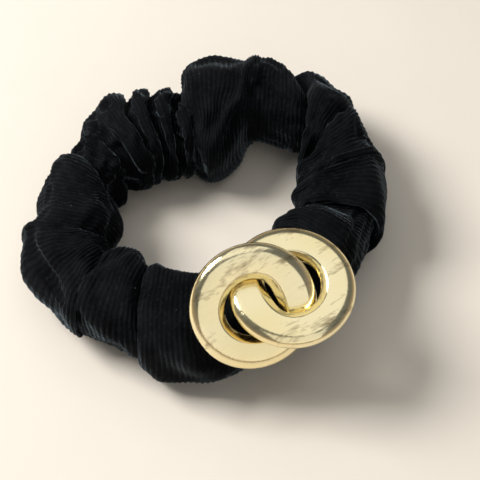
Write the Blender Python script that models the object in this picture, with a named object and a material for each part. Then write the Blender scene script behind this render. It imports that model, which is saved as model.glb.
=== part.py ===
"""Corduroy scrunchie with two interlocked metal rings.

A gathered fabric tube runs round a flat elastic band. Two flat metal rings, linked through each
other, sit on its front: each has a cast eye on its back, held by a loop of thread that goes
through the fabric. The scrunchie lies on the plane z = 0, its hole is vertical, and the rings
are at its -Y side. When it stretches, its back half moves along +Y.
"""

import math

import bmesh
import bpy
from mathutils import Matrix, Vector

# ---- driving dimensions, in metres ----
LOOP_LONG = 0.0415             # half axes of the oval that the tube's centreline lies in
LOOP_SHORT = 0.0335
LOOP_TURN = 12                 # degrees from +X to the long axis
TUBE_WIDTH = 0.0255            # across the tube, towards the hole
TUBE_HEIGHT = 0.0284           # before the underside is flattened
TUBE_FLATTENED = 0.0012        # taken off the underside by its own weight
LOOP_X = 0.0                   # the oval's centre: puts the middle of the whole on the origin
LOOP_Y = 0.0068
GAP = 0.0003                   # kept between pieces that touch

CHANNEL_WIDTH = 0.0084         # the passage for the elastic, inside the gathered fabric
CHANNEL_HEIGHT = 0.0108
ELASTIC_WIDTH = 0.0070
ELASTIC_THICKNESS = 0.0014
ELASTIC_LAP = 0.0150           # how far its two ends run past each other
ELASTIC_LAP_ANGLE = 205        # degrees round the ring, middle of the lap
ELASTIC_STEPS = 48

# Each gather: the angle of the crease where it starts, in degrees anticlockwise from +X seen
# from above, and its girth next to the full one. A gather runs to the next one's crease.
GATHERS = (
    (-40, 0.98), (-16, 1.00), (6, 1.02), (32, 1.08), (58, 1.03), (81, 0.95), (103, 0.90),
    (122, 0.86), (134, 0.94), (165, 1.00), (190, 1.00), (220, 0.94), (257, 0.78), (287, 0.90),
)
CREASE_DEPTH = 0.10            # girth lost in a crease
STATIONS_PER_GATHER = 4
COVER_SIDES = 16

METAL_OUTER = 0.0322           # outer diameter of a metal ring
METAL_HOLE = 0.0156            # diameter of its hole
METAL_THICKNESS = 0.0044
METAL_SQUARENESS = 2.4         # exponent of the band's rounded section
METAL_SPACING = 0.0106         # between the centres of the two rings
METAL_TILT = 20                # degrees, left one way and right the other, so that they link
METAL_TILT_TURN = 15           # degrees from the line of centres to the axis of that tilt
METAL_RISE = 7.5               # degrees that the pair's right end is raised
METAL_ELEVATION = 61           # degrees above the horizontal that the pair faces
METAL_X = -0.0024              # from the oval's centre to the point of the tube behind the pair
METAL_DISTANCE = 0.0197        # from the tube's centre to the middle of the pair
METAL_STEPS = 40
METAL_SIDES = 12

EYE_RADIUS = 0.0017            # cast eye, to the middle of its wire
EYE_WIRE = 0.00075             # radius of that wire
EYE_STAND = 0.0013             # from the ring's back to the middle of the eye
TACK_RADIUS = 0.0017           # thread loop's round ends, to the middle of the thread
TACK_THREAD = 0.00055          # radius of the bundle of thread
TACK_LENGTHS = {-1: 0.0092, 1: 0.0130}  # between a loop's round ends, for the left and right ring

SEAM_THREAD = 0.00035
STITCH_THREAD = 0.00030
BAR_TACK_STITCHES = 3
BAR_TACK_PITCH = 0.0035
BAR_TACK_HALF_HEIGHT = 0.0016
CLOSING_ANGLE = 220            # the crease where the tube's two ends meet
CLOSING_STITCHES = 5
CLOSING_PITCH = 0.0022
CLOSING_REACH = 0.0013         # half the stitch's length, across the crease
CLOSING_BITE = 0.0010          # how far it dips into the fabric

# ---- derived sizes ----
HALF_WIDTH = TUBE_WIDTH / 2
HALF_HEIGHT = TUBE_HEIGHT / 2
TUBE_Z = HALF_HEIGHT - TUBE_FLATTENED
METAL_RADIUS = (METAL_OUTER + METAL_HOLE) / 4
METAL_HALF_BAND = (METAL_OUTER - METAL_HOLE) / 4


def loop_radius(angle):
    """Distance from the oval's centre to the tube's centreline, at an angle in degrees from +X."""
    a = math.radians(angle - LOOP_TURN)
    return LOOP_LONG * LOOP_SHORT / math.hypot(LOOP_SHORT * math.cos(a), LOOP_LONG * math.sin(a))


def outward(angle):
    a = math.radians(angle)
    return Vector((math.cos(a), math.sin(a), 0))


def on_loop(angle, offset, z):
    """A point this far outside the tube's centreline, at an angle in degrees from +X."""
    return Vector((LOOP_X, LOOP_Y, z)) + outward(angle) * (loop_radius(angle) + offset)


def front_of_loop(x):
    """The tube's centre point on its -Y side, at this x from the oval's centre."""
    low, high = 200.0, 340.0
    for _ in range(50):
        middle = (low + high) / 2
        if on_loop(middle, 0, TUBE_Z).x < LOOP_X + x:
            low = middle
        else:
            high = middle
    return on_loop(middle, 0, TUBE_Z)


def pair_axes():
    """The pair of metal rings' own directions: across, up its face, and where it faces."""
    rise, elevation = math.radians(METAL_RISE), math.radians(METAL_ELEVATION)
    across = Vector((math.cos(rise), 0, math.sin(rise)))
    level = Vector((0, -1, 0))
    facing = level * math.cos(elevation) + across.cross(level) * -math.sin(elevation)
    return across, facing.cross(across), facing


ACROSS, UP_FACE, FACING = pair_axes()
METAL_CENTRE = front_of_loop(METAL_X) + FACING * METAL_DISTANCE
TILT_AXIS = Matrix.Rotation(math.radians(-METAL_TILT_TURN), 3, FACING) @ ACROSS
# An eye sits where a ring crosses its own tilt axis. The line through both eyes' bars is the
# axis that the pair rocks about.
TO_EYE = ACROSS * (METAL_SPACING / 2) + TILT_AXIS * METAL_RADIUS
ROCK_AXIS = TO_EYE.normalized()
ROCK_CENTRE = METAL_CENTRE - FACING * (METAL_THICKNESS / 2 + EYE_STAND + EYE_RADIUS)


def clear_scene():
    for old in list(bpy.data.objects):
        bpy.data.objects.remove(old, do_unlink=True)


def material(name, colour, roughness, metallic=0.0):
    mat = bpy.data.materials.new(name)
    mat.use_nodes = True
    shader = mat.node_tree.nodes["Principled BSDF"]
    shader.inputs["Base Color"].default_value = (*colour, 1)
    shader.inputs["Roughness"].default_value = roughness
    shader.inputs["Metallic"].default_value = metallic
    return mat


def add_object(name, bm, mat, origin=(0, 0, 0), smooth=True):
    """Turns bm, in world coordinates, into an object whose own origin is at origin."""
    bmesh.ops.translate(bm, verts=bm.verts, vec=-Vector(origin))
    bmesh.ops.recalc_face_normals(bm, faces=bm.faces)
    mesh = bpy.data.meshes.new(name)
    bm.to_mesh(mesh)
    bm.free()
    if smooth:
        mesh.shade_smooth()
        mesh.set_sharp_from_angle(angle=math.radians(50))
    obj = bpy.data.objects.new(name, mesh)
    obj.location = origin
    bpy.context.scene.collection.objects.link(obj)
    obj.data.materials.append(mat)
    return obj


def add_cutter(name, bm):
    """A shape that only cuts others, and isn't a piece of the object."""
    mesh = bpy.data.meshes.new(name)
    bmesh.ops.recalc_face_normals(bm, faces=bm.faces)
    bm.to_mesh(mesh)
    bm.free()
    obj = bpy.data.objects.new(name, mesh)
    bpy.context.scene.collection.objects.link(obj)
    obj.hide_render = True
    obj.display_type = "WIRE"
    return obj


def cut(obj, cutter):
    boolean = obj.modifiers.new("cut_" + cutter.name, "BOOLEAN")
    boolean.operation = "DIFFERENCE"
    boolean.solver = "EXACT"
    boolean.object = cutter


def skin(bm, loops, closed):
    """Faces between loops of the same number of vertices; a closed skin joins last to first."""
    pairs = list(zip(loops, loops[1:]))
    if closed:
        pairs.append((loops[-1], loops[0]))
    for first, second in pairs:
        for i in range(len(first)):
            j = (i + 1) % len(first)
            bm.faces.new((first[i], first[j], second[j], second[i]))


def sweep(bm, path, radius, sides, closed, normal):
    """A round thread or wire of this radius along a path that turns about this normal."""
    loops = []
    count = len(path)
    for i, point in enumerate(path):
        before = path[(i - 1) % count] if closed or i > 0 else point
        after = path[(i + 1) % count] if closed or i < count - 1 else point
        run = (after - before).normalized()
        side = run.cross(normal).normalized()
        lift = side.cross(run)
        ring = []
        for k in range(sides):
            a = math.tau * k / sides
            offset = side * (radius * math.cos(a)) + lift * (radius * math.sin(a))
            ring.append(bm.verts.new(point + offset))
        loops.append(ring)
    skin(bm, loops, closed)
    if not closed:
        bm.faces.new(loops[0])
        bm.faces.new(loops[-1])


def racetrack(start, along, across, length, radius, steps):
    """Points of a flat loop: two half circles of this radius, their centres length apart."""
    points = []
    for end in (0, 1):
        centre = start + along * (length * end)
        for k in range(steps + 1):
            a = math.pi * (k / steps + end) + math.pi
            points.append(centre + across * (radius * math.cos(a)) + along * (radius * math.sin(a)))
    return points


def coil(middle, first, second, advance, turns, steps):
    """Points of an oval coil about middle; first and second are its half axes."""
    points = []
    for n in range(turns * steps + 1):
        turned = n / steps
        a = math.tau * turned
        along = advance * (turned - turns / 2)
        points.append(middle + first * math.cos(a) + second * math.sin(a) + along)
    return points


# ---- the gathered cover ----
def gather_stations():
    """(angle, girth) round the whole ring: full between creases, less at each crease."""
    stations = []
    for i, (start, girth) in enumerate(GATHERS):
        following = GATHERS[(i + 1) % len(GATHERS)]
        end = following[0] if i + 1 < len(GATHERS) else following[0] + 360
        for k in range(STATIONS_PER_GATHER):
            t = k / STATIONS_PER_GATHER
            before = GATHERS[i - 1][1]
            fullness = math.sin(math.pi * t) ** 0.6
            base = girth if k else min(girth, before)
            stations.append((start + (end - start) * t, base - CREASE_DEPTH * (1 - fullness)))
    return stations


def girth_at(angle):
    """Girth at any angle, between the stations."""
    stations = gather_stations()
    stations.append((stations[0][0] + 360, stations[0][1]))
    a = (angle - stations[0][0]) % 360 + stations[0][0]
    for (a0, g0), (a1, g1) in zip(stations, stations[1:]):
        if a0 <= a <= a1:
            return g0 + (g1 - g0) * (a - a0) / (a1 - a0)
    return stations[0][1]


def cover_section(girth):
    """(radial offset, height) of the tube's outside, flat where it rests on z = 0."""
    points = []
    for k in range(COVER_SIDES):
        a = math.tau * k / COVER_SIDES
        height = (TUBE_Z + HALF_HEIGHT * math.sin(a)) * girth
        points.append((HALF_WIDTH * girth * math.cos(a), max(0.0, height)))
    return points


def channel_section():
    points = []
    for k in range(COVER_SIDES):
        a = math.tau * k / COVER_SIDES
        points.append((CHANNEL_WIDTH / 2 * math.cos(a), TUBE_Z + CHANNEL_HEIGHT / 2 * math.sin(a)))
    return points


def cover_half(name, first_angle, mat):
    """Half of the cover, from first_angle round to the other side, its ends flat and open."""
    inside = [s[0] % 360 for s in gather_stations()]
    inside = sorted(a for a in inside if 2 < (a - first_angle) % 360 < 178)
    angles = [first_angle] + inside + [first_angle + 180]
    away = 1 if first_angle == 0 else -1
    bm = bmesh.new()
    outer, inner = [], []
    for n, angle in enumerate(angles):
        girth = girth_at(angle)
        at_end = n in (0, len(angles) - 1)
        shift = Vector((0, away * GAP / 2, 0)) if at_end else Vector((0, 0, 0))
        for loops, section in ((outer, cover_section(girth)), (inner, channel_section())):
            ring = [on_loop(angle, r, z) + shift for r, z in section]
            loops.append([bm.verts.new(p) for p in ring])
    skin(bm, outer, closed=False)
    skin(bm, inner, closed=False)
    for end in (0, -1):
        skin(bm, [outer[end], inner[end]], closed=False)
    return add_object(name, bm, mat)


# ---- the elastic ----
def elastic_offset(turn):
    """The band winds out by its own thickness and a gap in each full turn, so its ends lap."""
    return (ELASTIC_THICKNESS + GAP) * (turn - 0.5)


def elastic_band(mat):
    lap = math.degrees(ELASTIC_LAP / loop_radius(ELASTIC_LAP_ANGLE))
    start = ELASTIC_LAP_ANGLE - lap / 2
    half_t, half_w, bevel = ELASTIC_THICKNESS / 2, ELASTIC_WIDTH / 2, 0.0004
    corners = (
        (half_t, -half_w + bevel), (half_t, half_w - bevel),
        (half_t - bevel, half_w), (-half_t + bevel, half_w),
        (-half_t, half_w - bevel), (-half_t, -half_w + bevel),
        (-half_t + bevel, -half_w), (half_t - bevel, -half_w),
    )
    bm = bmesh.new()
    loops = []
    for n in range(ELASTIC_STEPS + 1):
        swept = (360 + lap) * n / ELASTIC_STEPS
        offset = elastic_offset(swept / 360)
        ring = [on_loop(start + swept, offset + dr, TUBE_Z + dz) for dr, dz in corners]
        loops.append([bm.verts.new(p) for p in ring])
    skin(bm, loops, closed=False)
    bm.faces.new(loops[0])
    bm.faces.new(loops[-1])
    return add_object("elastic_band", bm, mat)


def bar_tack(bm, thread):
    """One thread wound through both layers of the lapped elastic."""
    out = outward(ELASTIC_LAP_ANGLE)
    up = Vector((0, 0, 1))
    reach = ELASTIC_THICKNESS + GAP / 2 + STITCH_THREAD + 2 * GAP
    half_lap = ELASTIC_LAP / (2 * math.tau * loop_radius(ELASTIC_LAP_ANGLE))
    offset = (elastic_offset(half_lap) + elastic_offset(1 + half_lap)) / 2
    middle = on_loop(ELASTIC_LAP_ANGLE, offset, TUBE_Z)
    advance = out.cross(up) * BAR_TACK_PITCH
    path = coil(middle, out * reach, up * BAR_TACK_HALF_HEIGHT, advance, BAR_TACK_STITCHES, 8)
    sweep(bm, path, thread, 6, False, out.cross(up))


# ---- sewing ----
def long_seam(name, first_angle, mat):
    """The line of stitches that closes the strip of fabric into a tube, inside its underside."""
    z = TUBE_Z - CHANNEL_HEIGHT / 2 + SEAM_THREAD + 2 * GAP
    steps = 30
    away = 1 if first_angle == 0 else -1
    path = []
    for n in range(steps + 1):
        point = on_loop(first_angle + 180 * n / steps, 0, z)
        if n in (0, steps):
            point.y += away * GAP / 2
        path.append(point)
    bm = bmesh.new()
    sweep(bm, path, SEAM_THREAD, 6, False, Vector((0, 0, 1)))
    return add_object(name, bm, mat)


def closing_stitches(bm, thread):
    """One thread that overcasts the crease where the tube's ends meet, facing the hole."""
    out = outward(CLOSING_ANGLE)
    along = outward(CLOSING_ANGLE + 90)
    middle = on_loop(CLOSING_ANGLE, -HALF_WIDTH * girth_at(CLOSING_ANGLE), TUBE_Z)
    advance = Vector((0, 0, CLOSING_PITCH))
    bite, reach = out * -CLOSING_BITE, along * CLOSING_REACH
    path = coil(middle, bite, reach, advance, CLOSING_STITCHES, 8)
    sweep(bm, path, thread, 6, False, Vector((0, 0, 1)))


def tack_loop(bm, side, thread):
    """The thread that holds one metal ring: round its eye, then through the cover's front."""
    start = ROCK_CENTRE + TO_EYE * side
    along = -FACING
    across = ROCK_AXIS.cross(along)
    path = racetrack(start, along, across, TACK_LENGTHS[side], TACK_RADIUS, 7)
    sweep(bm, path, thread, 8, True, along.cross(across))


# ---- the metal rings ----
def metal_ring(name, side, mat):
    """A flat ring with rounded rims and a cast eye; side is -1 on the left, 1 on the right."""
    tilt = Matrix.Rotation(math.radians(-side * METAL_TILT), 3, TILT_AXIS)
    centre = METAL_CENTRE + ACROSS * (side * METAL_SPACING / 2)
    right, up, facing = tilt @ ACROSS, tilt @ UP_FACE, tilt @ FACING
    power = 2 / METAL_SQUARENESS
    bm = bmesh.new()
    loops = []
    for n in range(METAL_STEPS):
        a = math.tau * n / METAL_STEPS
        out = right * math.cos(a) + up * math.sin(a)
        ring = []
        for k in range(METAL_SIDES):
            b = math.tau * (k + 0.5) / METAL_SIDES
            across = math.copysign(abs(math.cos(b)) ** power, math.cos(b)) * METAL_HALF_BAND
            through = math.copysign(abs(math.sin(b)) ** power, math.sin(b)) * METAL_THICKNESS / 2
            ring.append(bm.verts.new(centre + out * (METAL_RADIUS + across) + facing * through))
        loops.append(ring)
    skin(bm, loops, closed=True)
    origin = ROCK_CENTRE + TO_EYE * side
    ring_object = add_object(name, bm, mat, origin)

    eye = bmesh.new()
    middle = origin + FACING * EYE_RADIUS
    path = racetrack(middle, FACING, ROCK_AXIS, 0.0, EYE_RADIUS, 8)
    path = [p for i, p in enumerate(path) if i not in (8, 17)]
    sweep(eye, path, EYE_WIRE, 8, True, FACING.cross(ROCK_AXIS))
    union = ring_object.modifiers.new("cast_eye", "BOOLEAN")
    union.operation = "UNION"
    union.solver = "EXACT"
    union.object = add_cutter(name + "_eye_shape", eye)
    return ring_object


def build():
    clear_scene()
    corduroy = material("black_corduroy", (0.012, 0.013, 0.017), 0.85)
    elastic = material("black_elastic", (0.03, 0.03, 0.032), 0.8)
    thread = material("black_thread", (0.02, 0.02, 0.022), 0.6)
    gold = material("gold_plating", (0.93, 0.74, 0.42), 0.16, 1.0)

    front = cover_half("cover_front", 180, corduroy)
    back = cover_half("cover_back", 0, corduroy)
    band = elastic_band(elastic)

    bm = bmesh.new()
    bar_tack(bm, STITCH_THREAD)
    lap_stitches = add_object("elastic_bar_tack", bm, thread)
    bm = bmesh.new()
    bar_tack(bm, STITCH_THREAD + GAP)
    cut(band, add_cutter("bar_tack_holes", bm))

    bm = bmesh.new()
    closing_stitches(bm, STITCH_THREAD)
    closing = add_object("closing_stitches", bm, thread)
    bm = bmesh.new()
    closing_stitches(bm, STITCH_THREAD + GAP)
    cut(front, add_cutter("closing_holes", bm))

    seams = [
        long_seam("long_seam_front", 180, thread),
        long_seam("long_seam_back", 0, thread),
    ]
    tacks, rings = [], []
    for side, word in ((-1, "left"), (1, "right")):
        bm = bmesh.new()
        tack_loop(bm, side, TACK_THREAD)
        tacks.append(add_object("thread_tack_" + word, bm, thread))
        bm = bmesh.new()
        tack_loop(bm, side, TACK_THREAD + GAP)
        cut(front, add_cutter("tack_holes_" + word, bm))
        rings.append(metal_ring("ring_" + word, side, gold))

    whole = bpy.data.objects.new("scrunchie", None)
    bpy.context.scene.collection.objects.link(whole)
    stretch = bpy.data.objects.new("back_half_stretch", None)
    stretch.location = (LOOP_X, LOOP_Y, TUBE_Z)
    bpy.context.scene.collection.objects.link(stretch)
    stretch.parent = whole
    for piece in (front, band, lap_stitches, closing, seams[0], *tacks, *rings):
        piece.parent = whole
    for piece in (back, seams[1]):
        piece.parent = stretch
        piece.matrix_parent_inverse = Matrix.Translation(-stretch.location)


build()
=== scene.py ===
"""Looks for the corduroy scrunchie: gathered cover, linked gold rings, elastic and threads.

Lengths are in metres, but the two tables of the gathers and what is worked out from them are in
millimetres. The cover is a closed tube of cloth in a row of overlapping gathers. Places along the
loop are given by an angle psi from +X, about the oval's centre. Places round the tube are given by a
second angle: 0 on the outer side, a quarter turn on top, a half turn towards the hole.
"""

import math

import bmesh
import bpy
import numpy as np
from mathutils import Matrix, Vector


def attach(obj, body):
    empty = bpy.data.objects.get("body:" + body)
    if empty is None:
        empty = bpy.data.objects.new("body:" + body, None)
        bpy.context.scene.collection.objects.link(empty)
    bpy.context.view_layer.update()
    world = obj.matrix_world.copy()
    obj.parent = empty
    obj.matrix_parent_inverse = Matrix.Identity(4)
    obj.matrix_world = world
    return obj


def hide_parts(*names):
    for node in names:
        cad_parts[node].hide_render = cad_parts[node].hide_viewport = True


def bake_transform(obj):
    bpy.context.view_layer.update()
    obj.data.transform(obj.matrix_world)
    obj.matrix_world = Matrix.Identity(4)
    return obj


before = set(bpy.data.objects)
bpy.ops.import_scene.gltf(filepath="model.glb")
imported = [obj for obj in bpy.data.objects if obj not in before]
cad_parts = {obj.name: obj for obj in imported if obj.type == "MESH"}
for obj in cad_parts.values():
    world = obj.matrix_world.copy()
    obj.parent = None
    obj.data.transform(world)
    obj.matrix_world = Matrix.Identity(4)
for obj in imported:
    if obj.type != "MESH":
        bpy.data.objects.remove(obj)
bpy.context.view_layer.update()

# ---- the oval that the elastic runs along ----
LOOP_LONG, LOOP_SHORT, LOOP_TURN = 0.0415, 0.0335, 12
LOOP_Y = 0.0068
TUBE_Z = 0.0130

# ---- the gathers ----
# Creases: psi on the outer side and on the hole side; the share of a gather's half width that is
# left on the outer side, of its half height on top, and of its half width on the hole side; how
# many degrees the gathers beside it lean over it; and how square the gather before it and the one
# after it close on it (low is square).
CREASES = (
    (225, 213, 0.76, 0.62, 0.64, -5, 1.0, 0.42),
    (257, 257, 0.62, 0.78, 0.60, 0, 0.6, 0.6),
    (288, 290, 1.05, 0.95, 0.62, 0, 0.8, 0.8),
    (325, 322, 0.80, 0.64, 0.54, -9, 1.1, 0.36),
    (346, 335, 0.98, 0.95, 0.84, 0, 0.6, 0.8),
    (370, 358, 0.93, 0.78, 0.58, 4, 0.9, 0.36),
    (393, 369, 0.58, 0.56, 0.56, 4, 1.6, 0.42),
    (408, 401, 1.24, 1.02, 1.08, 0, 1.1, 1.2),
    (433, 440, 0.62, 0.60, 0.66, 0, 0.36, 0.5),
    (438, 449, 0.80, 0.76, 0.74, -1, 0.5, 0.7),
    (448, 463, 0.74, 0.68, 0.66, -2, 0.45, 0.7),
    (457, 476, 0.74, 0.64, 0.60, -3, 0.45, 0.7),
    (480, 488, 0.80, 0.70, 0.66, -3, 0.45, 0.8),
    (494, 504, 0.80, 0.66, 0.62, -5, 0.42, 0.9),
    (524, 541, 1.13, 0.90, 0.62, 3, 1.6, 1.3),
    (562, 552, 0.94, 0.78, 0.50, -6, 1.1, 0.46),
    (585, 573, 0.76, 0.62, 0.64, -5, 1.0, 0.42),
)
# Gathers, each from the crease in the same place of the list to the next: distance of the tube's
# centre from the oval's centre, half width towards the hole, half height and how far the middle is
# lifted, and how much of the simulated crumpling it takes.
GATHERS = (
    (38.9, 14.2, 13.8, 0, 0.30),
    (35.6, 11.4, 13.0, 1.5, 0.30),
    (32.0, 13.2, 13.6, 2.4, 0.30),
    (35.1, 13.0, 13.5, 0, 0.35),
    (37.0, 12.8, 14.0, 0, 0.40),
    (41.7, 12.0, 13.4, 0, 0.30),
    (40.9, 10.3, 14.2, 0, 0.30),
    (30.4, 19.5, 14.6, 0, 0.30),
    (24.6, 10.6, 11.8, 0, 0.70),
    (27.4, 11.0, 12.8, 0, 0.70),
    (30.6, 11.6, 13.6, 0, 0.70),
    (32.6, 13.4, 13.2, 0, 0.60),
    (32.0, 9.2, 11.0, 0, 0.40),
    (35.1, 10.6, 13.6, 0, 0.30),
    (40.8, 12.6, 12.8, 0, 0.35),
    (37.6, 13.3, 13.2, 0, 0.30),
)
MIDDLE = TUBE_Z * 1000         # the tube's middle and the lowest point of its outline, in millimetres
LOWEST = 0.6
SPARE_CLOTH = 13.0             # millimetres that each gather's profile is longer than its chord
CELL = 3.6                     # millimetres between the simulated rows
FEWEST_ROWS = 5                # in the narrowest gather
ROUND_CELLS = 32
SECTION_POWER = 0.92           # 1 is an ellipse, less is squarer
LUMP_WAVE, LUMP_WAVES, LUMP_HEIGHT = 0.016, 10, 0.0007

# ---- the cloth ----
CLOTH_GROWTH = 1.05            # how much bigger the simulated cloth wants to be
HELD = 0.55                    # how firmly it is held to its shape between the creases
SIM_SCALE = 10.0
SIM_FRAMES = 24
ALONG_FINER, ROUND_FINER = 12, 2
WALE = 0.0012
WALE_HEIGHT = 0.00012
WALE_WAVE, WALE_WAVES, WALE_WAVER = 0.006, 8, 0.3
ROWS_PER_WALE = 4
PILE_ROUGHNESS = 0.000035
CLOTH_THICKNESS = 0.0008
FLOOR_GAP = 0.0003
RING_GAP = 0.0009              # kept between the cloth and the metal
RING_REACH, RING_FADE = 0.0035, 0.0025     # how far outside a ring the cloth still gives way

# ---- the metal rings, as the CAD has them ----
METAL_OUTER, METAL_HOLE, METAL_THICKNESS = 0.0322, 0.0156, 0.0044
METAL_SPACING, METAL_TILT, METAL_TILT_TURN = 0.0106, 20, 15
METAL_RISE, METAL_ELEVATION = 7.5, 61
METAL_X, METAL_DISTANCE = -0.0024, 0.0197
METAL_ROCK = 8
EYE_RADIUS, EYE_WIRE, EYE_STAND = 0.0017, 0.00075, 0.0013
TACK_RADIUS = 0.0017
TACK_LENGTHS = {-1: 0.0092, 1: 0.0130}

# ---- the finish of their section ----
RING_STEPS = 200
FACE_SHOULDER = 0.0010         # from the middle of the band to where its face starts to roll off
RIM_DROP = 0.0024              # how far the face has rolled off at the rim
CENTRE_LIP = 0.0013            # how much wider each band is where it runs beside the other ring
HOLE_LIP = 0.00055             # how far the polished lip stands into the hole
HOLE_BEVEL = 0.0017            # of the face, at the hole
BACK_BEVEL = 0.0014
FACE_DISH = 0.00015            # how much lower the face is at that bevel
EDGE_ROUND = 0.00035

# ---- elastic and threads ----
ELASTIC_WIDTH, ELASTIC_THICKNESS, ELASTIC_LAP, ELASTIC_LAP_ANGLE = 0.0070, 0.0014, 0.0150, 205
GAP = 0.0003
PASSAGE_HEIGHT, SEAM_RISE = 0.0108, 0.00095     # the long seam lies just above the passage's floor
LONG_SEAM_STITCHES, CLOSING_STITCHES = 90, 9
STRANDS = 3
THREAD_DIRECTION = Vector((0.31, 0.17, 0.93))   # along no thread, so it can start a frame on any

rng = np.random.default_rng(4)


def loop_radius(angle):
    a = np.radians(np.asarray(angle, float) - LOOP_TURN)
    return LOOP_LONG * LOOP_SHORT / np.hypot(LOOP_SHORT * np.cos(a), LOOP_LONG * np.sin(a))


def on_loop(angle, offset, z):
    a, r = math.radians(angle), float(loop_radius(angle)) + offset
    return Vector((r * math.cos(a), LOOP_Y + r * math.sin(a), z))


def new_mesh(name, points, faces, mat):
    mesh = bpy.data.meshes.new(name)
    mesh.from_pydata([tuple(p) for p in points], [], faces)
    mesh.update()
    mesh.shade_smooth()
    obj = bpy.data.objects.new(name, mesh)
    bpy.context.scene.collection.objects.link(obj)
    mesh.materials.append(mat)
    return obj


def fix_normals(obj):
    bm = bmesh.new()
    bm.from_mesh(obj.data)
    bmesh.ops.recalc_face_normals(bm, faces=bm.faces)
    bm.to_mesh(obj.data)
    bm.free()


# ---- materials ----
class Nodes:
    """The node tree of a material or a world, with short calls to add and link nodes."""

    def __init__(self, owner, shader="Principled BSDF"):
        owner.use_nodes = True
        self.owner = owner
        self.tree = owner.node_tree
        self.shader = self.tree.nodes[shader]

    def add(self, kind, settings=None, **inputs):
        """A node of this kind; its inputs go by name, or by number as i0, i1 and so on."""
        node = self.tree.nodes.new(kind)
        for key, value in (settings or {}).items():
            setattr(node, key, value)
        for key, value in inputs.items():
            place = int(key[1:]) if key[1:].isdigit() else key.replace("_", " ")
            self.put(node.inputs[place], value)
        return node

    def put(self, socket, value):
        if isinstance(value, bpy.types.NodeSocket):
            self.tree.links.new(value, socket)
        else:
            socket.default_value = value

    def coordinates(self):
        return self.add("ShaderNodeTexCoord").outputs["Object"]

    def noise(self, vector, scale, detail=2.0, roughness=0.5):
        return self.add("ShaderNodeTexNoise", Vector=vector, Scale=scale, Detail=detail,
                        Roughness=roughness).outputs["Fac"]

    def streaks(self, vector, degrees, scale, detail, roughness):
        """Noise that is drawn out along one direction of the XY plane."""
        turned = self.add("ShaderNodeMapping", Vector=vector, Rotation=(0.0, 0.0, math.radians(degrees)),
                          Scale=scale)
        return self.noise(turned.outputs[0], 1.0, detail, roughness)

    def stretch(self, value, low, high, to_low=0.0, to_high=1.0):
        node = self.add("ShaderNodeMapRange", i0=value, i1=low, i2=high, i3=to_low, i4=to_high)
        return node.outputs[0]

    def maths(self, operation, a, b):
        return self.add("ShaderNodeMath", {"operation": operation}, i0=a, i1=b).outputs[0]

    def mix(self, factor, a, b):
        """A mix of two colours, which are sockets 6 and 7 of that node."""
        return self.add("ShaderNodeMix", {"data_type": "RGBA"}, Factor=factor, i6=a, i7=b).outputs[2]

    def bump(self, height, strength, distance, normal=None):
        node = self.add("ShaderNodeBump", Height=height, Strength=strength, Distance=distance)
        if normal is not None:
            self.put(node.inputs["Normal"], normal)
        return node.outputs["Normal"]

    def attribute(self, name):
        return self.add("ShaderNodeAttribute", {"attribute_name": name}).outputs["Fac"]

    def set(self, **values):
        for key, value in values.items():
            self.put(self.shader.inputs[key.replace("_", " ")], value)


def corduroy_material():
    n = Nodes(bpy.data.materials.new("black_corduroy_pile"))
    at = n.coordinates()
    wale = n.attribute("wale")
    patches = n.stretch(n.noise(at, 90, 3.0, 0.6), 0.35, 0.68)
    pile = n.noise(at, 2600, 2.0, 0.7)
    tufts = n.noise(at, 900, 3.0, 0.65)
    # Low patchy noise makes the base colour lighter in places: painted sheen, copying the pile's uneven
    # sheen
    painted_sheen_patches = n.mix(patches, (0.0014, 0.0016, 0.0022, 1), (0.0056, 0.0064, 0.0078, 1))
    # Tufts of rubbed pile are lighter (wear), laid over the painted sheen
    rubbed = n.maths("MULTIPLY", n.stretch(tufts, 0.5, 0.8), 0.55)
    wear_over_painted_sheen = n.mix(rubbed, painted_sheen_patches, (0.0130, 0.0148, 0.0175, 1))
    # The wale valleys are made darker: painted shade between the ridges
    painted_valley_shade = n.mix(n.stretch(wale, 0.1, 0.75, 0.5, 0.0), wear_over_painted_sheen, (0.0008, 0.0009, 0.0011, 1))
    lint = n.stretch(n.noise(at, 1500, 0.0), 0.885, 0.90)
    colour = n.mix(n.maths("MULTIPLY", lint, 0.5), painted_valley_shade, (0.20, 0.20, 0.21, 1))
    normal = n.bump(pile, 0.55, 0.00025, n.bump(tufts, 0.5, 0.0004))
    n.set(Base_Color=colour, Roughness=n.stretch(patches, 0, 1, 0.92, 0.8), Normal=normal)
    n.set(Sheen_Weight=0.36, Sheen_Roughness=0.24, Sheen_Tint=(0.55, 0.68, 0.78, 1),
          Specular_IOR_Level=0.05)
    return n.owner


def gold_material():
    n = Nodes(bpy.data.materials.new("brushed_gold"))
    at = n.coordinates()
    strokes = n.streaks(at, -38, (90, 2600, 700), 3.0, 0.62)
    fine = n.streaks(at, 52, (160, 4200, 900), 2.0, 0.6)
    smudge = n.stretch(n.streaks(at, -38, (55, 210, 120), 4.0, 0.7), 0.565, 0.70)
    wave = n.noise(at, 160, 2.0, 0.5)
    cloud = n.stretch(n.noise(at, 45, 2.0), 0.35, 0.65)
    plating = n.mix(cloud, (0.90, 0.76, 0.42, 1), (0.95, 0.845, 0.54, 1))
    colour = n.mix(n.maths("MULTIPLY", smudge, 0.8), plating, (0.20, 0.13, 0.07, 1))
    rough = n.maths("ADD", n.stretch(strokes, 0.35, 0.75, 0.10, 0.24), n.maths("MULTIPLY", smudge, 0.16))
    normal = n.bump(strokes, 0.16, 0.00012, n.bump(fine, 0.07, 0.0001, n.bump(wave, 0.10, 0.0006)))
    n.set(Base_Color=colour, Roughness=rough, Normal=normal, Metallic=1.0)
    return n.owner


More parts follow.
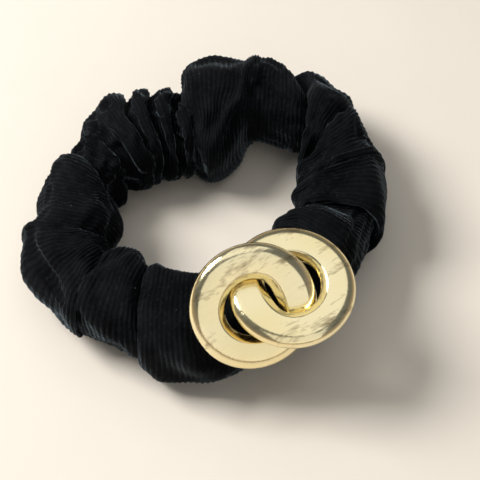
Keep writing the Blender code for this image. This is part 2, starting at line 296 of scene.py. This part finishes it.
def thread_material():
    n = Nodes(bpy.data.materials.new("black_polyester_thread"))
    at = n.coordinates()
    fibres = n.noise(at, 5200, 2.0, 0.6)
    colour = n.mix(fibres, (0.006, 0.006, 0.008, 1), (0.022, 0.023, 0.027, 1))
    n.set(Base_Color=colour, Roughness=n.stretch(fibres, 0.3, 0.7, 0.42, 0.62),
          Normal=n.bump(fibres, 0.6, 0.0002), Sheen_Weight=0.25)
    return n.owner


def elastic_material():
    n = Nodes(bpy.data.materials.new("black_knitted_elastic"))
    at = n.coordinates()
    rib = n.attribute("rib")
    yarn = n.noise(at, 3400, 2.0, 0.6)
    # The grooves between the ribs are darker: painted shade
    painted_groove_shade = n.mix(rib, (0.010, 0.010, 0.011, 1), (0.040, 0.040, 0.043, 1))
    colour = n.mix(n.maths("MULTIPLY", yarn, 0.5), painted_groove_shade, (0.065, 0.065, 0.07, 1))
    n.set(Base_Color=colour, Roughness=n.stretch(yarn, 0.3, 0.7, 0.65, 0.85),
          Normal=n.bump(yarn, 0.6, 0.0003))
    return n.owner


# ---- the rings' own axes ----
def ring_axes():
    """The pair's two directions in its plane, the way it faces, and its centre over the loop."""
    rise, elevation = math.radians(METAL_RISE), math.radians(METAL_ELEVATION)
    across = Vector((math.cos(rise), 0, math.sin(rise)))
    level = Vector((0, -1, 0))
    facing = level * math.cos(elevation) + across.cross(level) * -math.sin(elevation)
    low, high = 200.0, 340.0
    for _ in range(50):
        middle = (low + high) / 2
        if on_loop(middle, 0, TUBE_Z).x < METAL_X:
            low = middle
        else:
            high = middle
    centre = on_loop(middle, 0, TUBE_Z) + facing * METAL_DISTANCE
    return across, facing.cross(across), facing, centre


ACROSS, UP_FACE, FACING, METAL_CENTRE = ring_axes()
TILT_AXIS = Matrix.Rotation(math.radians(-METAL_TILT_TURN), 3, FACING) @ ACROSS
METAL_RADIUS = (METAL_OUTER + METAL_HOLE) / 4
METAL_HALF_BAND = (METAL_OUTER - METAL_HOLE) / 4
TO_EYE = ACROSS * (METAL_SPACING / 2) + TILT_AXIS * METAL_RADIUS
ROCK_AXIS = TO_EYE.normalized()
ROCK_CENTRE = METAL_CENTRE - FACING * (METAL_THICKNESS / 2 + EYE_STAND + EYE_RADIUS)


def ring_pose(side, rock=0.0):
    """Centre and own axes of one metal ring, with the pair rocked by this many degrees."""
    tilt = Matrix.Rotation(math.radians(-side * METAL_TILT), 3, TILT_AXIS)
    turn = Matrix.Rotation(math.radians(rock), 3, ROCK_AXIS)
    centre = METAL_CENTRE + ACROSS * (side * METAL_SPACING / 2)
    centre = ROCK_CENTRE + turn @ (centre - ROCK_CENTRE)
    return centre, turn @ tilt @ ACROSS, turn @ tilt @ UP_FACE, turn @ tilt @ FACING


# ---- the cover ----
ROUND = math.tau * np.arange(ROUND_CELLS) / ROUND_CELLS
OUTNESS = (1 + np.cos(ROUND)) / 2


def crease_psi(c):
    outer, inner = CREASES[c][:2]
    return inner + (outer - inner) * OUTNESS


def crease_section(c):
    """Tube centre, half width, half height and height of the middle at a crease."""
    before, after = GATHERS[c - 1], GATHERS[c % len(GATHERS)]
    outer, inner, out_left, top_left, hole_left = CREASES[c][:5]
    own = float(loop_radius((outer + inner) / 2)) * 1000
    centre = 0.25 * (before[0] + after[0]) + 0.5 * own
    width = min(before[1], after[1])
    centre += width * (out_left - hole_left) / 2
    height = min(before[2], after[2]) * top_left
    return np.array([centre, width * (out_left + hole_left) / 2, height, MIDDLE])


def section(k, t):
    """The cover's outline at the share t of the way through gather k."""
    centre, width, height, lift = GATHERS[k][:4]
    x = (1 - math.cos(math.pi * t)) / 2
    squareness = CREASES[k][7] + (CREASES[k + 1][6] - CREASES[k][7]) * x
    fullness = math.sin(math.pi * t) ** squareness if 0 < t < 1 else 0.0
    lean = (CREASES[k][5] * (1 - x) ** 2 + CREASES[k + 1][5] * x * x) * fullness
    psi = np.radians(crease_psi(k) * (1 - x) + crease_psi(k + 1) * x + lean)
    low = crease_section(k) * (1 - x) + crease_section(k + 1) * x
    full = np.array([centre, width, height, MIDDLE + lift])
    tube_r, half_r, half_z, tube_z = low + (full - low) * fullness
    c, s = np.cos(ROUND), np.sin(ROUND)
    r = tube_r + half_r * np.sign(c) * abs(c) ** SECTION_POWER
    z = tube_z + half_z * np.sign(s) * abs(s) ** SECTION_POWER
    return np.stack([r * np.cos(psi), LOOP_Y * 1000 + r * np.sin(psi), np.maximum(z, LOWEST)], 1) / 1000


def gather_stations():
    """(gather, share of the way through it) of every row, spaced partly by length of profile."""
    stations = []
    for k, gather in enumerate(GATHERS):
        span = abs(sum(CREASES[k + 1][:2]) - sum(CREASES[k][:2])) / 2
        count = max(FEWEST_ROWS, round((math.radians(span) * gather[0] + SPARE_CLOTH) / CELL))
        shares = np.linspace(0, 1, 81)
        rows = np.array([section(k, t) for t in shares])
        steps = np.linalg.norm(np.diff(rows, axis=0), axis=2)[:, : ROUND_CELLS // 2].mean(1)
        run = np.concatenate([[0], np.cumsum(steps)])
        run = 0.5 * run / run[-1] + 0.5 * shares
        stations += [(k, float(t)) for t in np.interp(np.arange(count) / count, run, shares)]
    return stations


def lumps(points, wave, count, height):
    """Smooth low noise at each point: a sum of this many plane waves, each about this long."""
    flat = points.reshape(-1, 3)
    total = np.zeros(len(flat))
    for _ in range(count):
        d = rng.normal(size=3)
        d /= np.linalg.norm(d)
        total += np.sin(flat @ d * math.tau / (wave * rng.uniform(0.7, 1.4)) + rng.uniform(0, math.tau))
    return total.reshape(points.shape[:2]) * height / math.sqrt(count / 2)


def normals_of(grid):
    """Outward normals of a grid of points that closes on itself both ways."""
    along = np.roll(grid, -1, 0) - np.roll(grid, 1, 0)
    around = np.roll(grid, -1, 1) - np.roll(grid, 1, 1)
    n = np.cross(around, along)
    n /= np.maximum(np.linalg.norm(n, axis=2, keepdims=True), 1e-12)
    middle = grid.mean(1, keepdims=True)
    return n * np.sign(((grid - middle) * n).sum())


def grid_faces(rows, columns, first=0, inward=False):
    """Faces of a grid of points that closes on itself both ways."""
    faces = []
    for i in range(rows):
        for j in range(columns):
            a, b = first + i * columns + j, first + i * columns + (j + 1) % columns
            c = first + ((i + 1) % rows) * columns + (j + 1) % columns
            d = first + ((i + 1) % rows) * columns + j
            faces.append((a, d, c, b) if inward else (a, b, c, d))
    return faces


def settle(grid, held):
    """Lets the cloth, which is longer than its shape, buckle and settle by simulation."""
    rows, columns = grid.shape[:2]
    scene = bpy.context.scene
    mesh = bpy.data.meshes.new("settling")
    mesh.from_pydata((grid.reshape(-1, 3) * SIM_SCALE).tolist(), [], grid_faces(rows, columns))
    cloth = bpy.data.objects.new("settling", mesh)
    scene.collection.objects.link(cloth)
    cloth.shape_key_add(name="Basis")
    longer = cloth.shape_key_add(name="longer")
    longer.data.foreach_set("co", (grid * SIM_SCALE * CLOTH_GROWTH).ravel())
    group = cloth.vertex_groups.new(name="held")
    for i in range(rows):
        group.add(list(range(i * columns, (i + 1) * columns)), float(held[i]), "REPLACE")
    modifier = cloth.modifiers.new("Cloth", "CLOTH")
    s = modifier.settings
    s.quality, s.mass, s.air_damping = 5, 0.15, 2.0
    s.tension_stiffness = s.compression_stiffness = 40
    s.shear_stiffness, s.bending_stiffness = 20, 30
    s.tension_damping = s.compression_damping = s.shear_damping = 5
    s.bending_damping = 1
    s.vertex_group_mass, s.pin_stiffness = "held", 1.0
    s.rest_shape_key = longer
    s.use_pressure, s.uniform_pressure_force = True, 0.5
    s.effector_weights.gravity = 0
    c = modifier.collision_settings
    c.use_collision, c.use_self_collision = False, True
    c.self_distance_min, c.collision_quality = 0.015, 2
    modifier.point_cache.frame_start, modifier.point_cache.frame_end = 1, SIM_FRAMES
    scene.frame_start, scene.frame_end = 1, SIM_FRAMES
    for step in range(1, SIM_FRAMES + 1):
        scene.frame_set(step)
    settled = cloth.evaluated_get(bpy.context.evaluated_depsgraph_get())
    co = np.zeros(rows * columns * 3)
    settled.data.vertices.foreach_get("co", co)
    scene.frame_set(1)
    bpy.data.objects.remove(cloth, do_unlink=True)
    return co.reshape(rows, columns, 3) / SIM_SCALE


def finer(grid, times, axis):
    """The same closed grid with this many times the points along one axis, on smooth curves."""
    p0, p1, p2, p3 = (np.roll(grid, s, axis) for s in (1, 0, -1, -2))
    parts = []
    for q in range(times):
        t = q / times
        parts.append(0.5 * (2 * p1 + (p2 - p0) * t + (2 * p0 - 5 * p1 + 4 * p2 - p3) * t * t
                            + (3 * p1 - 3 * p2 + p3 - p0) * t ** 3))
    joined = np.stack(parts, axis + 1)
    shape = list(grid.shape)
    shape[axis] *= times
    return joined.reshape(shape)


def profile_steps(grid):
    """The mean distance from each row of a closed grid to the next."""
    return np.linalg.norm(np.roll(grid, -1, 0) - grid, axis=2).mean(1)


def evenly(grid, count):
    """The grid with its rows spaced evenly by length, this many of them."""
    steps = profile_steps(grid)
    run = np.concatenate([[0], np.cumsum(steps)])
    closed = np.concatenate([grid, grid[:1]])
    want = run[-1] * np.arange(count) / count
    i = np.clip(np.searchsorted(run, want, side="right") - 1, 0, len(steps) - 1)
    t = ((want - run[i]) / steps[i])[:, None, None]
    return closed[i] * (1 - t) + closed[i + 1] * t


def clear_of_metal(grid):
    """Moves cloth that would touch a metal ring, wherever the pair rocks to, away from its back."""
    for side in (-1, 1):
        for rock in (-METAL_ROCK, 0, METAL_ROCK):
            centre, _, _, facing = (np.array(v) for v in ring_pose(side, rock))
            away = grid - centre
            depth = away @ facing + METAL_THICKNESS / 2 + RING_GAP
            out = np.linalg.norm(away - (away @ facing)[:, :, None] * facing, axis=2)
            near = np.clip((METAL_OUTER / 2 + RING_REACH - out) / RING_FADE, 0, 1)
            near = near * near * (3 - 2 * near)
            grid = grid - (np.maximum(depth, 0) * near)[:, :, None] * facing
    return grid


def cover_grid():
    """The cover's points, row by row along the loop: its gathers as set, and their crumpling."""
    stations = gather_stations()
    target = np.array([section(k, t) for k, t in stations])
    fade = np.array([math.sin(math.pi * t) ** 0.5 if t > 0 else 0.0 for _, t in stations])
    swelling = lumps(target, LUMP_WAVE, LUMP_WAVES, LUMP_HEIGHT) * fade[:, None]
    lumpy = target + normals_of(target) * swelling[:, :, None]
    lumpy[:, :, 2] = np.maximum(lumpy[:, :, 2], LOWEST / 1000)
    held = [1.0 if t == 0 else HELD for _, t in stations]
    share = np.array([GATHERS[k][4] for k, _ in stations])[:, None, None]
    return lumpy + (settle(lumpy, held) - lumpy) * share


def build_cover(mat):
    """Two skins of cloth, the outer one with its wales as ridges; returns it with its surface."""
    coarse = clear_of_metal(cover_grid())
    fine = finer(finer(coarse, ALONG_FINER, 0), ROUND_FINER, 1)
    wales = round(profile_steps(fine).sum() / WALE)
    grid = clear_of_metal(evenly(fine, wales * ROWS_PER_WALE))
    grid[:, :, 2] = np.maximum(grid[:, :, 2], FLOOR_GAP + WALE_HEIGHT)
    normal = normals_of(grid)
    rows, columns = grid.shape[:2]
    ridge = np.cos(math.tau * np.arange(rows) / ROWS_PER_WALE)
    pile = rng.normal(size=(rows, columns)) * PILE_ROUGHNESS
    waver = 1 + lumps(grid, WALE_WAVE, WALE_WAVES, WALE_WAVER)
    height = ridge[:, None] * WALE_HEIGHT * waver + pile
    outer = grid + normal * height[:, :, None]
    thin = grid[:: 2 * ROWS_PER_WALE, ::2]
    inner = thin - normal[:: 2 * ROWS_PER_WALE, ::2] * CLOTH_THICKNESS
    inner[:, :, 2] = np.maximum(inner[:, :, 2], FLOOR_GAP + CLOTH_THICKNESS)
    points = np.concatenate([outer.reshape(-1, 3), inner.reshape(-1, 3)])
    faces = grid_faces(rows, columns, 0, True)
    faces += grid_faces(inner.shape[0], inner.shape[1], rows * columns)
    cover = new_mesh("fabric_cover", points, faces, mat)
    # How high on a wale each point is; the cloth's colour paints shade into the valleys from it
    shade = np.zeros(len(cover.data.vertices), np.float32)
    shade[: rows * columns] = np.repeat(0.5 + 0.5 * ridge, columns)
    cover.data.attributes.new("wale", "FLOAT", "POINT").data.foreach_set("value", shade)
    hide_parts("cover_front", "cover_back")
    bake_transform(cover)
    return cover, grid, normal


# ---- the metal rings ----
def rounded(corners, radius, steps):
    """A closed outline with each corner rounded: corners are (x, y)."""
    points = []
    for i, corner in enumerate(corners):
        p = Vector(corner)
        ends = []
        for other in (Vector(corners[i - 1]), Vector(corners[(i + 1) % len(corners)])):
            d = other - p
            ends.append(p + d * min(0.45, radius / d.length))
        for s in range(steps + 1):
            t = s / steps
            points.append(ends[0] * (1 - t) ** 2 + p * (2 * t * (1 - t)) + ends[1] * t * t)
    return points


def ring_outline():
    """(across the band from hole to rim, through it from back to front) of the metal's section."""
    h, t = METAL_HALF_BAND, METAL_THICKNESS / 2
    inner, rim, shoulder = -h - HOLE_LIP, h, FACE_SHOULDER
    edge = inner + HOLE_BEVEL
    corners = [(inner, -t + BACK_BEVEL), (inner, t - HOLE_BEVEL), (edge, t - FACE_DISH)]
    for k in range(1, 5):
        corners.append((edge + (shoulder - edge) * k / 5, t - FACE_DISH * (1 - k / 5) ** 2))
    for k in range(11):
        a = math.radians(90 * k / 10)
        corners.append((shoulder + (rim - shoulder) * math.sin(a), t - RIM_DROP * (1 - math.cos(a))))
    corners += [(rim, -t + BACK_BEVEL), (rim - BACK_BEVEL, -t), (inner + BACK_BEVEL, -t)]
    return rounded(corners, EDGE_ROUND, 3)


def racetrack(start, along, across, length, radius, steps):
    """A closed path of two half circles with straights of this length between them."""
    points = []
    for end in (0, 1):
        centre = start + along * (length * end)
        for k in range(steps + 1):
            a = math.pi * (k / steps + end) + math.pi
            points.append(centre + across * (radius * math.cos(a)) + along * (radius * math.sin(a)))
    return points


def tube(points, faces, path, radius, sides, closed, normal):
    """Adds a round wire or thread along a path to the lists of points and faces."""
    first, count = len(points), len(path)
    for i, p in enumerate(path):
        before = path[(i - 1) % count] if closed or i > 0 else p
        after = path[(i + 1) % count] if closed or i < count - 1 else p
        run = (after - before).normalized()
        side = run.cross(normal).normalized()
        lift = side.cross(run)
        for k in range(sides):
            a = math.tau * k / sides
            points.append(p + side * (radius * math.cos(a)) + lift * (radius * math.sin(a)))
    for i in range(count if closed else count - 1):
        for k in range(sides):
            a, b = first + i * sides + k, first + i * sides + (k + 1) % sides
            n = ((i + 1) % count) * sides + first
            faces.append((a, b, n + (k + 1) % sides, n + k))
    if not closed:
        faces.append(tuple(first + k for k in range(sides))[::-1])
        faces.append(tuple(first + (count - 1) * sides + k for k in range(sides)))


def build_ring(side, word, mat):
    """One flat ring, a little wider beside the other one, with the cast eye on its back."""
    centre, right, up, facing = ring_pose(side)
    outline = ring_outline()
    other = ring_pose(-side)[0] - centre
    toward = math.atan2(other.dot(up), other.dot(right))
    points = []
    for n in range(RING_STEPS):
        a = math.tau * n / RING_STEPS
        out = right * math.cos(a) + up * math.sin(a)
        lip = CENTRE_LIP * max(0.0, math.cos(a - toward)) ** 4
        for across, through in outline:
            across += lip * min(0.0, across / METAL_HALF_BAND)
            points.append(centre + out * (METAL_RADIUS + across) + facing * through)
    faces = grid_faces(RING_STEPS, len(outline))
    eye, half = ROCK_CENTRE + TO_EYE * side + FACING * EYE_RADIUS, 18
    path = racetrack(eye, FACING, ROCK_AXIS, 0.0, EYE_RADIUS, half)
    path = path[:half] + path[half + 1:-1]
    tube(points, faces, path, EYE_WIRE, 14, True, FACING.cross(ROCK_AXIS))
    ring = new_mesh("gold_ring_" + word, points, faces, mat)
    fix_normals(ring)
    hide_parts("ring_" + word)
    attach(ring, "ring_" + word)


# ---- elastic and threads ----
def twisted(points, faces, path, closed, reach, radius, pitch):
    """Adds a thread of twisted strands along a path to the lists of points and faces."""
    count = len(path)
    ends = path[1:] + path[:1] if closed else path[1:]
    total = sum((b - a).length for a, b in zip(path, ends))
    turns = max(1, round(total / pitch)) * math.tau
    normal = THREAD_DIRECTION.normalized()
    frames = []
    for i, p in enumerate(path):
        before = path[(i - 1) % count] if closed or i > 0 else p
        after = path[(i + 1) % count] if closed or i < count - 1 else p
        run = (after - before).normalized()
        normal = (normal - run * normal.dot(run)).normalized()
        frames.append((p, normal.copy(), run.cross(normal)))
    for s in range(STRANDS):
        strand, done = [], 0.0
        for i, (p, n, b) in enumerate(frames):
            a = math.tau * s / STRANDS + turns * done / total
            strand.append(p + n * (reach * math.cos(a)) + b * (reach * math.sin(a)))
            if i + 1 < count:
                done += (path[i + 1] - p).length
        tube(points, faces, strand, radius, 7, closed, THREAD_DIRECTION)


def resampled(path, step, closed):
    """Points about this far apart along a path."""
    p = np.array([tuple(v) for v in path])
    if closed:
        p = np.concatenate([p, p[:1]])
    run = np.concatenate([[0], np.cumsum(np.linalg.norm(np.diff(p, axis=0), axis=1))])
    count = max(4, round(run[-1] / step))
    want = run[-1] * np.arange(count + (0 if closed else 1)) / count
    return [Vector(v) for v in np.stack([np.interp(want, run, p[:, c]) for c in range(3)], 1)]


def build_tacks(mat):
    """The two loops of thread that hold the rings' eyes to the elastic."""
    step, reach, radius, pitch = 0.0002, 0.00026, 0.00027, 0.0016
    for side, word in ((-1, "left"), (1, "right")):
        start = ROCK_CENTRE + TO_EYE * side
        along = -FACING
        path = racetrack(start, along, ROCK_AXIS.cross(along), TACK_LENGTHS[side], TACK_RADIUS, 24)
        points, faces = [], []
        twisted(points, faces, resampled(path, step, True), True, reach, radius, pitch)
        tack = new_mesh("sewn_tack_" + word, points, faces, mat)
        fix_normals(tack)
        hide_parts("thread_tack_" + word)
        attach(tack, "root")


def elastic_offset(turn):
    """How far the band is outside its oval, this many turns from its start."""
    return (ELASTIC_THICKNESS + GAP) * (turn - 0.5)


def elastic_outline(across, groove):
    """(through the band, along its width) of its section, and how high on a rib each point is."""
    half_t, half_w = ELASTIC_THICKNESS / 2, ELASTIC_WIDTH / 2
    outline, ribs = [], []
    for sign in (1, -1):
        for k in range(across):
            share = -1 + 2 * k / (across - 1)
            edge = min(1.0, (1 - abs(share)) / 0.10 + 0.35)
            rib = 0.5 + 0.5 * math.cos(math.pi * k)
            outline.append((sign * (half_t * edge - groove * (1 - rib)), sign * share * half_w))
            ribs.append(rib)
    return outline, ribs


def build_elastic(mat):
    """Flat band with knitted ribs along it; its two ends run past each other."""
    lap = math.degrees(ELASTIC_LAP / float(loop_radius(ELASTIC_LAP_ANGLE)))
    start = ELASTIC_LAP_ANGLE - lap / 2
    outline, ribs = elastic_outline(25, 0.00012)
    steps, sides, knit_height = 420, len(outline), 0.00005
    points, shade = [], []
    for n in range(steps + 1):
        swept = (360 + lap) * n / steps
        knit = knit_height * math.sin(math.pi * n)
        for (dr, dz), rib in zip(outline, ribs):
            points.append(on_loop(start + swept, elastic_offset(swept / 360) + dr + knit, TUBE_Z + dz))
            shade.append(rib)
    faces = []
    for i in range(steps):
        for j in range(sides):
            a, b = i * sides + j, i * sides + (j + 1) % sides
            faces.append((a, b, b + sides, a + sides))
    faces.append(tuple(range(sides))[::-1])
    faces.append(tuple(range(steps * sides, (steps + 1) * sides)))
    band = new_mesh("knitted_elastic", points, faces, mat)
    fix_normals(band)
    # How high on a rib each point is; the elastic's colour paints shade into the grooves from it
    rib_shade = band.data.attributes.new("rib", "FLOAT", "POINT")
    rib_shade.data.foreach_set("value", np.array(shade, np.float32))
    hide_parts("elastic_band")
    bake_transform(band)


def blended_thread(name, path, closed, mat, *nodes, scale=1.0):
    """A thread along a path, which moves with the cover."""
    step, reach, radius, pitch = 0.00018, 0.00014, 0.00015, 0.0009
    points, faces = [], []
    twisted(points, faces, resampled(path, step, closed), closed, reach * scale, radius * scale, pitch)
    thread = new_mesh(name, points, faces, mat)
    fix_normals(thread)
    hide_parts(*nodes)
    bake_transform(thread)


def coil(middle, first, second, advance, turns, steps):
    """Turns that go round in the plane of two vectors, each turn moved on by the advance."""
    points = []
    for n in range(turns * steps + 1):
        turned = n / steps
        a = math.tau * turned
        place = middle + first * math.cos(a) + second * math.sin(a)
        points.append(place + advance * (turned - turns / 2))
    return points


def build_bar_tack(mat):
    """Three turns of thread round the lapped ends of the elastic."""
    a = math.radians(ELASTIC_LAP_ANGLE)
    out, up = Vector((math.cos(a), math.sin(a), 0)), Vector((0, 0, 1))
    half_lap = ELASTIC_LAP / (2 * math.tau * float(loop_radius(ELASTIC_LAP_ANGLE)))
    offset = (elastic_offset(half_lap) + elastic_offset(1 + half_lap)) / 2
    middle = on_loop(ELASTIC_LAP_ANGLE, offset, TUBE_Z)
    reach, half_height, advance = ELASTIC_THICKNESS + GAP / 2 + GAP * 2, 0.0016, 0.0035
    path = coil(middle, out * reach, up * half_height, out.cross(up) * advance, 3, 40)
    blended_thread("bar_tack_thread", path, False, mat, "elastic_bar_tack")


def build_long_seam(mat):
    """The row of stitches inside the cover that closes the strip into a tube."""
    seam_z = TUBE_Z - PASSAGE_HEIGHT / 2 + SEAM_RISE
    steps, sideways, upward = 1200, 0.00018, 0.00012
    path = []
    for n in range(steps):
        angle = 360 * n / steps
        wave = math.tau * angle / 360 * LONG_SEAM_STITCHES
        path.append(on_loop(angle, sideways * math.sin(wave), seam_z + upward * math.cos(wave)))
    blended_thread("long_seam_thread", path, True, mat, "long_seam_front", "long_seam_back", scale=1.1)


def build_closing_seam(grid, normal, mat):
    """The row of stitches, in the crease where the cloth's two ends meet, on its hole side."""
    rows, columns = grid.shape[:2]
    reach = ROWS_PER_WALE * 1.1
    first, last = round(columns * 0.33), round(columns * 0.67)
    lift, rise, steps = 0.0001, 0.0005, 24
    path = []
    for n in range(CLOSING_STITCHES * steps + 1):
        a = math.tau * n / steps
        u = reach * math.sin(a)
        v = first + (last - first) * n / (CLOSING_STITCHES * steps)
        i, j = math.floor(u), math.floor(v)
        fu, fv = u - i, v - j
        p = sum(w * (grid[(i + di) % rows, (j + dj) % columns]
                     + normal[(i + di) % rows, (j + dj) % columns] * (lift + rise * math.cos(a)))
                for di, dj, w in ((0, 0, (1 - fu) * (1 - fv)), (1, 0, fu * (1 - fv)),
                                  (0, 1, (1 - fu) * fv), (1, 1, fu * fv)))
        path.append(Vector(p))
    blended_thread("closing_thread", path, False, mat, "closing_stitches", scale=1.1)


# ---- studio ----
def build_floor():
    n = Nodes(bpy.data.materials.new("pale_floor"))
    grain = n.noise(n.coordinates(), 14, 4.0, 0.6)
    n.set(Base_Color=n.mix(grain, (0.66, 0.605, 0.53, 1), (0.72, 0.665, 0.59, 1)), Roughness=0.75)
    floor = new_mesh("floor", [(-2, -2, 0), (2, -2, 0), (2, 2, 0), (-2, 2, 0)], [(0, 1, 2, 3)], n.owner)


def build_light():
    """A pale world, warmer and brighter near the horizon, and three soft boxes."""
    world = bpy.data.worlds.new("studio")
    bpy.context.scene.world = world
    n = Nodes(world, "Background")
    place = n.add("ShaderNodeTexCoord").outputs["Generated"]
    height = n.stretch(n.add("ShaderNodeSeparateXYZ", i0=place).outputs["Z"], 0.0, 0.42)
    n.set(Color=n.mix(height, (0.42, 0.33, 0.24, 1), (0.145, 0.152, 0.16, 1)))
    add_light("window", (-0.42, 0.36, 0.60), 0.34, 9.0, (1.0, 0.985, 0.96))
    add_light("front_box", (-0.16, -0.70, 0.52), 0.90, 1.8, (1.0, 0.985, 0.95))
    add_light("top_box", (0.10, 0.10, 0.80), 0.80, 1.6, (1.0, 0.985, 0.95))


def add_light(name, place, size, watts, colour):
    data = bpy.data.lights.new(name, "AREA")
    data.energy, data.size, data.color = watts, size, colour
    light = bpy.data.objects.new(name, data)
    bpy.context.scene.collection.objects.link(light)
    light.location = place
    light.rotation_euler = (Vector((0, 0, 0.01)) - light.location).to_track_quat("-Z", "Y").to_euler()


def build_camera():
    azimuth, elevation, distance = math.radians(-28), math.radians(55), 0.390
    field = math.radians(19)
    target = Vector((0.0037, -0.0040, 0.0076))
    back = Vector((math.sin(azimuth) * math.cos(elevation), -math.cos(azimuth) * math.cos(elevation),
                   math.sin(elevation)))
    data = bpy.data.cameras.new("camera")
    data.sensor_width, data.clip_start = 36, 0.01
    data.lens = data.sensor_width / 2 / math.tan(field / 2)
    camera = bpy.data.objects.new("camera", data)
    bpy.context.scene.collection.objects.link(camera)
    camera.location = target + back * distance
    camera.rotation_euler = back.to_track_quat("Z", "Y").to_euler()
    bpy.context.scene.camera = camera


bpy.context.scene.view_settings.view_transform = "Standard"
build_camera()
build_floor()
build_light()
corduroy, gold = corduroy_material(), gold_material()
thread, elastic = thread_material(), elastic_material()
cover, cover_surface, cover_normals = build_cover(corduroy)
build_ring(-1, "left", gold)
build_ring(1, "right", gold)
build_elastic(elastic)
build_tacks(thread)
build_bar_tack(thread)
build_long_seam(thread)
build_closing_seam(cover_surface, cover_normals, thread)
